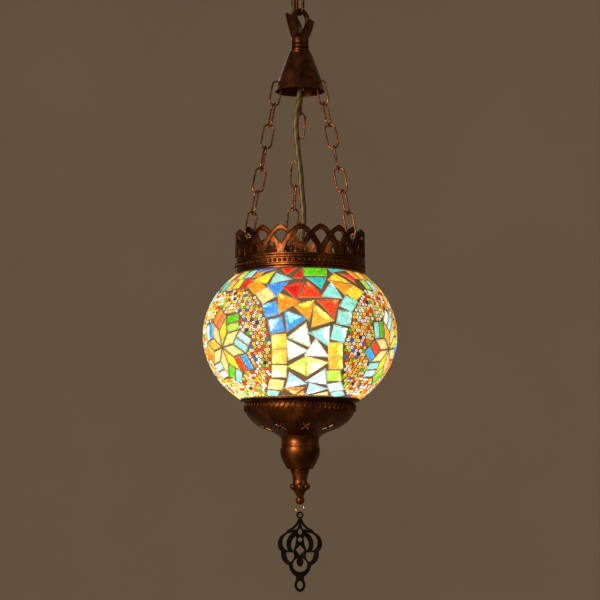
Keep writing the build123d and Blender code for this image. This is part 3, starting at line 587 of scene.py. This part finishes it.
def inset(polygon, amount):
    """The convex polygon with each edge moved in."""
    corners = polygon if double_area(polygon) > 0 else polygon[::-1]
    lines = []
    for a, b in edges(corners):
        run = math.hypot(b[0] - a[0], b[1] - a[1])
        nx, ny = -(b[1] - a[1]) / run, (b[0] - a[0]) / run
        lines.append((nx, ny, nx * a[0] + ny * a[1] + amount))
    moved = []
    for (ax, ay, ac), (bx, by, bc) in zip(lines[-1:] + lines[:-1], lines):
        cross = ax * by - ay * bx
        moved.append(((ac * by - bc * ay) / cross, (ax * bc - bx * ac) / cross))
    return moved


def divided(polygon, steps):
    """Points along a polygon, steps to an edge."""
    return [(a[0] + (b[0] - a[0]) * k / steps, a[1] + (b[1] - a[1]) * k / steps)
            for a, b in edges(polygon) for k in range(steps)]


COLOURS = {
    "red": (0.72, 0.022, 0.012), "scarlet": (0.85, 0.07, 0.018), "orange": (0.95, 0.33, 0.025),
    "amber": (0.96, 0.50, 0.07), "yellow": (0.97, 0.70, 0.05), "cream": (0.97, 0.76, 0.30),
    "peach": (0.96, 0.62, 0.26), "green": (0.13, 0.62, 0.015), "lime": (0.50, 0.80, 0.10),
    "teal": (0.04, 0.60, 0.50), "aqua": (0.32, 0.82, 0.72), "cyan": (0.55, 0.88, 0.86),
    "blue": (0.010, 0.17, 0.70), "azure": (0.06, 0.36, 0.88), "sky": (0.35, 0.62, 0.95),
    "white": (0.95, 0.95, 0.86), "mint": (0.72, 0.92, 0.68), "salmon": (0.92, 0.22, 0.08),
    "navy": (0.010, 0.012, 0.16),
}
laid = []                                     # each tile's middle azimuth, middle s, corners round it, colour


def keep_tile(placed, colour):
    """A tile by the azimuths and s of its corners."""
    middle_azimuth = sum(a for a, s in placed) / len(placed)
    middle = sum(s for a, s in placed) / len(placed)
    local = [(math.radians(a - middle_azimuth) * float(ring_radius(s)), s - middle) for a, s in placed]
    laid.append((middle_azimuth, middle, local, colour))


def lay_tile(azimuth, corners, colour):
    """A tile by corners in millimetres seen from the front of its panel: x across, s along the surface."""
    shares = [(max(-1, min(1, x / ring_radius(s))), s) for x, s in corners]
    keep_tile([(azimuth + math.degrees(math.asin(share)), s) for share, s in shares], colour)


def lay_square(azimuth, x, s, turn, colour, wide, tall):
    """A rectangular tile by its middle and its turn in degrees."""
    c, d = math.cos(math.radians(turn)), math.sin(math.radians(turn))
    corners = [(x + (a * c - b * d) / 2, s + (a * d + b * c) / 2)
               for a, b in ((-wide, -tall), (wide, -tall), (wide, tall), (-wide, tall))]
    lay_tile(azimuth, corners, colour)


PANEL_TRIANGLES = [
    ((-15, 39), (3, 45), (-3, 26)), ((7, 45), (20, 28), (0, 28)), ((28, 45), (37, 28), (20, 29)),
    ((-19, 32), (-1, 23), (-18, 13)), ((-5, 19), (12, 24), (8, 6)), ((16, 24), (34, 26), (30, 8)),
    ((13, 20), (29, 6), (11, 0)), ((-13, 14), (5, 7), (-11, -4)), ((5, 2), (9, -18), (-10, -10)),
    ((9, -6), (26, 0), (25, -17)), ((-11, -13), (6, -22), (-10, -30)), ((14, -12), (25, -27), (5, -26)),
    ((5, -28), (5, -46), (-10, -37)), ((6, -28), (24, -33), (7, -46)), ((22, -40), (23, -56), (6, -53)),
    ((-9, -44), (5, -56), (-12, -60)), ((9, -56), (24, -62), (6, -70)), ((-14, -61), (3, -61), (-5, -70)),
    ((-16, 66), (-3, 66), (-12, 56)), ((2, 66), (2, 50), (-6, 51)), ((6, 51), (23, 51), (19, 38)),
    ((-26, 44), (-8, 49), (-21, 58)), ((-29, 42), (-11, 45), (-21, 29)), ((27, 47), (46, 44), (40, 32)),
    ((-42, 49), (-23, 61), (-30, 45)), ((31, 58), (45, 46), (26, 49)), ((36, 59), (47, 57), (50, 47)),
    ((-36, 60), (-22, 66), (-40, 66)), ((26, 66), (40, 66), (29, 60)),
    ((12, -70.6), (24.5, -66), (24.5, -70.6)), ((-2.6, -70.6), (2.6, -65.5), (4.4, -70.6)),
]
PANEL_SQUARES = [
    (13.7, 60, 0, 20.5, 12.0), (-39, 41, 30, 12.6, 12.6), (-31, 30.5, 32, 13, 12.6),
    (-26, 16, 14, 12.6, 12.6),
    (-21.3, 1, 11, 12.6, 13), (-18.6, -13.5, 3, 12.6, 12.8), (-18.4, -27.5, 0, 12.8, 12.8),
    (-18.6, -42, -3, 12.8, 12.2), (-21.5, -57, -10, 12.8, 11.8), (-24.5, -68, -14, 10, 6.0),
    (49, 35, -38, 13, 12.4), (43.6, 22.5, -28, 12.2, 12.2), (39.6, 8.5, -9, 12.2, 12.6),
    (34.8, -6, -14, 12.2, 13),
    (31.6, -20.4, -1, 12.6, 12.6), (31.9, -33.3, 3, 12.2, 11.6), (30.4, -46.5, 5, 12.2, 11.0),
    (31.8, -59.5, 15, 13, 9.6), (34, -68.5, 18, 11, 5.5),
]
TRIANGLE_COLOURS = [
    ("red scarlet aqua orange orange scarlet amber azure mint aqua white white lime cream cyan sky sky salmon "
     "red red teal aqua azure orange yellow yellow scarlet blue teal cream orange").split(),
    ("teal yellow red green amber aqua white scarlet cream orange aqua yellow sky mint amber green orange lime "
     "yellow blue red amber scarlet teal green aqua yellow orange red cream amber").split(),
    ("yellow green orange aqua scarlet sky amber teal white cream orange mint aqua salmon yellow cyan lime azure "
     "green amber blue red yellow scarlet aqua orange teal red yellow orange cream").split(),
]
SQUARE_COLOURS = [
    ("green orange cream azure azure amber amber cream peach aqua yellow aqua aqua aqua amber amber lime cyan "
     "aqua").split(),
    ("red yellow aqua orange amber teal teal lime cream salmon blue orange yellow green green cream cyan peach "
     "amber").split(),
    ("amber teal scarlet yellow green sky azure cream orange lime aqua red orange amber yellow aqua mint amber "
     "cream").split(),
]
PANEL_AZIMUTHS = (0.0, 120.0, 240.0)
TRIANGLE_SCALE = 1.17
SQUARE_GROWTH = 0.8


def grown(corners, scale):
    """The polygon scaled about its middle."""
    middle = [sum(values) / len(corners) for values in zip(*corners)]
    return [tuple(m + scale * (value - m) for m, value in zip(middle, corner)) for corner in corners]


for azimuth, triangle_colours, square_colours in zip(PANEL_AZIMUTHS, TRIANGLE_COLOURS, SQUARE_COLOURS):
    for corners, colour in zip(PANEL_TRIANGLES, triangle_colours):
        lay_tile(azimuth, grown(corners, TRIANGLE_SCALE), colour)
    for (x, s, turn, wide, tall), colour in zip(PANEL_SQUARES, square_colours):
        lay_square(azimuth, x, s, turn, colour, wide + SQUARE_GROWTH, tall + SQUARE_GROWTH)

# ---------------------------------------------------------------- medallions: a star of tiles among beads
STAR_SIDE = 15.8
STAR_TURN = 8.0                               # degrees
STAR_S = -16.0
INNER_SEAM, OUTER_SEAM = 0.75, 0.6            # how far each rhombus is drawn in
MEDALLION_AZIMUTHS = (-53.0, 67.0, 187.0)
INNER_COLOURS = ("cream", "yellow", "cream", "amber", "cream", "cream", "yellow", "cream")
OUTER_PAIRS = [("aqua", "cyan"), ("lime", "green"), ("salmon", "orange"), ("azure", "cyan"),
               ("amber", "orange"), ("cyan", "white"), ("green", "aqua"), ("scarlet", "azure")]


def lay_flat(azimuth, centre_s, corners, colour):
    """A tile by corners in millimetres on the surface itself, round a centre."""
    levels = [(x, centre_s + y) for x, y in corners]
    keep_tile([(azimuth + math.degrees(x / float(ring_radius(s))), s) for x, s in levels], colour)


def spoke(number):
    """A side of the star's rhombi, as a vector from its middle."""
    angle = math.radians(45.0 * number + STAR_TURN)
    return Vector((math.cos(angle), math.sin(angle))) * STAR_SIDE


for turn, azimuth in enumerate(MEDALLION_AZIMUTHS):
    for number in range(8):
        before, here, after = (spoke(number + k) for k in (-1, 0, 1))
        rhombus = [Vector((0, 0)), here, here + after, after]
        inner = INNER_COLOURS[(number + turn) % 8]
        lay_flat(azimuth, STAR_S, inset([tuple(p) for p in rhombus], INNER_SEAM), inner)
        near, far = OUTER_PAIRS[(number + 3 * turn) % 8]
        half = here + after / 2
        for corners, colour in (([here, half, half + before, here + before], near),
                                ([half, here + after, here + after + before, half + before], far)):
            lay_flat(azimuth, STAR_S, inset([tuple(p) for p in corners], OUTER_SEAM), colour)

# ---------------------------------------------------------------- larger tiles over the medallions
TOP_COLOURS = "yellow green orange red teal yellow lime amber scarlet aqua".split()
TOP_ROWS = ((59.5, 11.5, 26.5), (46.5, 12.5, 21.5))       # middle s, height, half of the row's width
for turn, azimuth in enumerate(MEDALLION_AZIMUTHS):
    for row, (s, high, reach) in enumerate(TOP_ROWS):
        count = 5 - row
        for k in range(count):
            x = (k - (count - 1) / 2) * 2 * reach / count
            lean = 3.2 if (k + row) % 2 else -3.2
            colour = TOP_COLOURS[(3 * k + 4 * row + 2 * turn) % len(TOP_COLOURS)]
            half, tall = reach / count - 0.9, high / 2
            lay_flat(azimuth, s, [(x - half - 0.1 * lean, -tall), (x + half, -tall + 0.3 * lean),
                                  (x + half - 0.8, tall), (x - half + 0.6, tall - 0.2 * lean)], colour)

# ---------------------------------------------------------------- tiles
TILE_FOOT, TILE_CREST = 1.45, 0.02            # depths under the globe's outer surface
TILE_RINGS = ((0.0, TILE_FOOT), (0.0, 0.55), (0.45, 0.14), (1.5, 0.03))       # inset and depth of each
LARGE_TILE = 160.0                            # twice the area from which an edge has three steps
# Painted highlight: a pale colour mixed into each tile's sides and rounded rim.
EDGE_HIGHLIGHT = (0.62, 0.46, 0.24)
tiles = Pile()
for azimuth, s, corners, colour in laid:
    tint = tuple(c * random.uniform(0.88, 1.08) for c in COLOURS[colour])
    area = double_area(corners)
    corners = corners if area > 0 else corners[::-1]
    steps = 3 if abs(area) > LARGE_TILE else 2
    count = len(corners) * steps
    points = []
    for amount, depth in TILE_RINGS:
        for x, y in divided(inset(corners, amount) if amount else corners, steps):
            place = max(GLOBE_FLOOR_S, min(GLOBE_TOP_S, s + y))
            points.append((azimuth + math.degrees(x / float(ring_radius(place))), place, depth))
    points.append((azimuth, s, TILE_CREST))
    points.append((azimuth, s, TILE_FOOT))
    table = np.array(points)
    faces = []
    for ring in range(len(TILE_RINGS) - 1):
        for k in range(count):
            a, b = ring * count + k, ring * count + (k + 1) % count
            faces.append((a, b, b + count, a + count))
    last = (len(TILE_RINGS) - 1) * count
    middle = len(TILE_RINGS) * count
    for k in range(count):
        faces.append((last + k, last + (k + 1) % count, middle))
        faces.append(((k + 1) % count, k, middle + 1))
    # Painted highlight: the tile's sides and rounded rim take a paler tint, and its shoulder a tint halfway
    # between that and the tile's own colour.
    edge = tuple(0.45 * c + 0.55 * min(1.0, 1.4 * c + pale) for c, pale in zip(tint, EDGE_HIGHLIGHT))
    shoulder_highlight = tuple((c + e) / 2 for c, e in zip(tint, edge))
    tints = [edge] * (2 * count) + [shoulder_highlight] * count + [tint] * (count + 2)
    tiles.add(list(on_globe(table[:, 0], table[:, 1], table[:, 2])), faces, tints)
tile_glass = stained_glass("mosaic_tile_glass", 0.5, 0.22, 0.72, 160.0)
tile_piece = tiles.piece("mosaic_tiles", tile_glass, "lamp", "mosaic_glass")
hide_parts("mosaic_layer")

# ---------------------------------------------------------------- seed beads
BEAD = 1.62                                   # radius
ROW_STEP, BEAD_STEP = 3.08, 3.75
FIRST_ROW_S = 38.0
BEAD_COLOURS = (["cream"] * 9 + ["yellow"] * 5 + ["orange"] * 4 + ["scarlet"] * 3 + ["white"] * 6
                + ["green", "navy", "cyan", "lime", "blue"])


def over_tiles(azimuths, levels, most):
    """The nearest tile edge's distance for points on the globe, up to most, negative on a tile."""
    found = np.full(len(azimuths), most)
    for azimuth, s, corners, colour in laid:
        near = np.nonzero(np.abs(levels - s) < 25 + most)[0]
        turn = (azimuths[near] - azimuth + 180.0) % 360.0 - 180.0
        x = np.radians(turn) * ring_radius(levels[near])
        close = np.abs(x) < 25 + most
        near = near[close]
        found[near] = np.minimum(found[near], side_distance(corners, x[close], levels[near] - s))
    return found


def bead_places():
    """Azimuths and s of beads in rows over the medallions, clear of the tiles."""
    places = []
    for row in range(int((FIRST_ROW_S - GLOBE_FLOOR_S - BEAD) / ROW_STEP) + 1):
        level = FIRST_ROW_S - row * ROW_STEP
        count = int(2 * math.pi * float(ring_radius(level)) / BEAD_STEP)
        for k in range(count):
            places.append((360.0 * (k + 0.5 * (row % 2) + random.uniform(-0.16, 0.16)) / count,
                           level + random.uniform(-0.35, 0.35)))
    table = np.array(places)
    clear = over_tiles(table[:, 0], table[:, 1], 6.0)
    turns = [(table[:, 0] - azimuth + 180.0) % 360.0 - 180.0 for azimuth in MEDALLION_AZIMUTHS]
    apart = np.min(np.abs(turns), 0)
    kept = (clear > BEAD + 0.05) & (apart < 42.5 - 0.0035 * (table[:, 1] - STAR_S) ** 2)
    return table[kept]


seeds = Pile()
BEAD_SIDES = 9
BEAD_FLATNESS = 0.72
BEAD_RINGS = ((0.42, -0.5), (1.0, -0.35), (1.0, 0.25), (0.72, 0.62), (0.42, 0.35))      # radius and height
for azimuth, s in bead_places():
    tint = tuple(c * random.uniform(0.85, 1.1) for c in COLOURS[random.choice(BEAD_COLOURS)])
    size = BEAD * random.uniform(0.86, 1.0)
    centre = Vector(on_globe(azimuth, np.float64(s), 0.85))
    out = (Vector(on_globe(azimuth, np.float64(s), 0.0)) - centre).normalized()
    out = (out + Vector([random.uniform(-0.16, 0.16) for _ in range(3)])).normalized()
    along = Vector((0, 0, 1)).cross(out).normalized()
    up = out.cross(along)
    spokes = [along * math.cos(2 * math.pi * k / BEAD_SIDES) + up * math.sin(2 * math.pi * k / BEAD_SIDES)
              for k in range(BEAD_SIDES)]
    vertices = [centre + way * radius * size * MM + out * height * size * MM * BEAD_FLATNESS
                for radius, height in BEAD_RINGS for way in spokes]
    starts = [r * BEAD_SIDES for r in range(len(BEAD_RINGS))]
    faces = [(here + k, here + (k + 1) % BEAD_SIDES, after + (k + 1) % BEAD_SIDES, after + k)
             for here, after in zip(starts, starts[1:] + starts[:1]) for k in range(BEAD_SIDES)]
    seeds.add(vertices, faces, [tint] * len(vertices))
bead_glass = stained_glass("seed_bead_glass", 0.55, 0.16, 0.25, 700.0)
seeds.piece("mosaic_beads", bead_glass, "lamp", "mosaic_glass")

# ---------------------------------------------------------------- grout, open under the tiles
COLUMNS, ROWS = 440, 116
UNDER_TILE = -1.05                            # a cell this far inside a tile is left open
GROUT_DEPTH, GROUT_RISE, RISE_REACH = 0.95, 0.35, 1.6
column, row = np.meshgrid(np.arange(COLUMNS), np.arange(ROWS))
cell_azimuth = (column.ravel() + 0.5) * 360.0 / COLUMNS
cell_s = GLOBE_FLOOR_S + (row.ravel() + 0.5) * (GLOBE_TOP_S - GLOBE_FLOOR_S) / ROWS
covered = over_tiles(cell_azimuth, cell_s, 4.0) < UNDER_TILE
corner_column, corner_row = np.meshgrid(np.arange(COLUMNS), np.arange(ROWS + 1))
corner_azimuth = corner_column.ravel() * 360.0 / COLUMNS
corner_s = GLOBE_FLOOR_S + corner_row.ravel() * (GLOBE_TOP_S - GLOBE_FLOOR_S) / ROWS
to_tile = over_tiles(corner_azimuth, corner_s, 3.0)
depth = GROUT_DEPTH - GROUT_RISE * np.clip(1.0 - np.abs(to_tile) / RISE_REACH, 0, 1)
grout_points = on_globe(corner_azimuth, corner_s, depth)
grout_faces = []
for hidden, c, r in zip(covered, column.ravel(), row.ravel()):
    if not hidden:
        a, b = r * COLUMNS + c, r * COLUMNS + (c + 1) % COLUMNS
        grout_faces.append((a, b, b + COLUMNS, a + COLUMNS))
grout = mesh_piece("mosaic_grout", grout_points, grout_faces, grout_material())
thickness = grout.modifiers.new("thickness", "SOLIDIFY")
thickness.thickness = 0.5 * MM
thickness.offset = -1.0
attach(grout, "lamp")

# ---------------------------------------------------------------- floor and light
FLOOR_Z = -1.35


def sweep_floor():
    """A pale floor that curves up into a round backdrop."""
    profile = [(2.6, 0.0), (3.0, 0.06), (3.3, 0.25), (3.5, 0.6), (3.55, 1.2), (3.55, 2.4)]
    sides = 64
    turns = [2 * math.pi * k / sides for k in range(sides)]
    vertices = [Vector((r * math.cos(turn), r * math.sin(turn), FLOOR_Z + h))
                for r, h in profile for turn in turns]
    faces = [tuple(range(sides))]
    for ring in range(len(profile) - 1):
        for k in range(sides):
            a, b = ring * sides + k, ring * sides + (k + 1) % sides
            faces.append((a, a + sides, b + sides, b))
    shader = Shader("floor_pale", Roughness=0.9)
    shader.vary("Base Color", shader.noise(3.0, 2.0), (0.49, 0.415, 0.335), (0.51, 0.435, 0.35))
    floor = mesh_piece("floor", vertices, faces, shader.material)


sweep_floor()


def soft_light(name, place, target, size, energy, colour):
    data = bpy.data.lights.new(name, "AREA")
    data.shape = "DISK"
    data.size = size
    data.energy = energy
    data.color = colour
    light = bpy.data.objects.new(name, data)
    light.location = place
    light.rotation_euler = (Vector(target) - Vector(place)).to_track_quat("-Z", "Y").to_euler()
    scene.collection.objects.link(light)


soft_light("key", (-1.3, -1.7, -0.15), (0, 0, -0.45), 0.7, 34.0, (1.0, 0.82, 0.62))
soft_light("fill", (1.7, -1.2, 0.1), (0, 0, -0.4), 1.2, 2.0, (1.0, 0.88, 0.75))
soft_light("back", (-0.6, 1.9, 0.3), (0, 0, -0.4), 1.2, 4.0, (1.0, 0.86, 0.7))
world = bpy.data.worlds.new("studio")
world.use_nodes = True
world.node_tree.nodes["Background"].inputs["Color"].default_value = (0.80, 0.68, 0.55, 1.0)
world.node_tree.nodes["Background"].inputs["Strength"].default_value = 0.19
scene.world = world
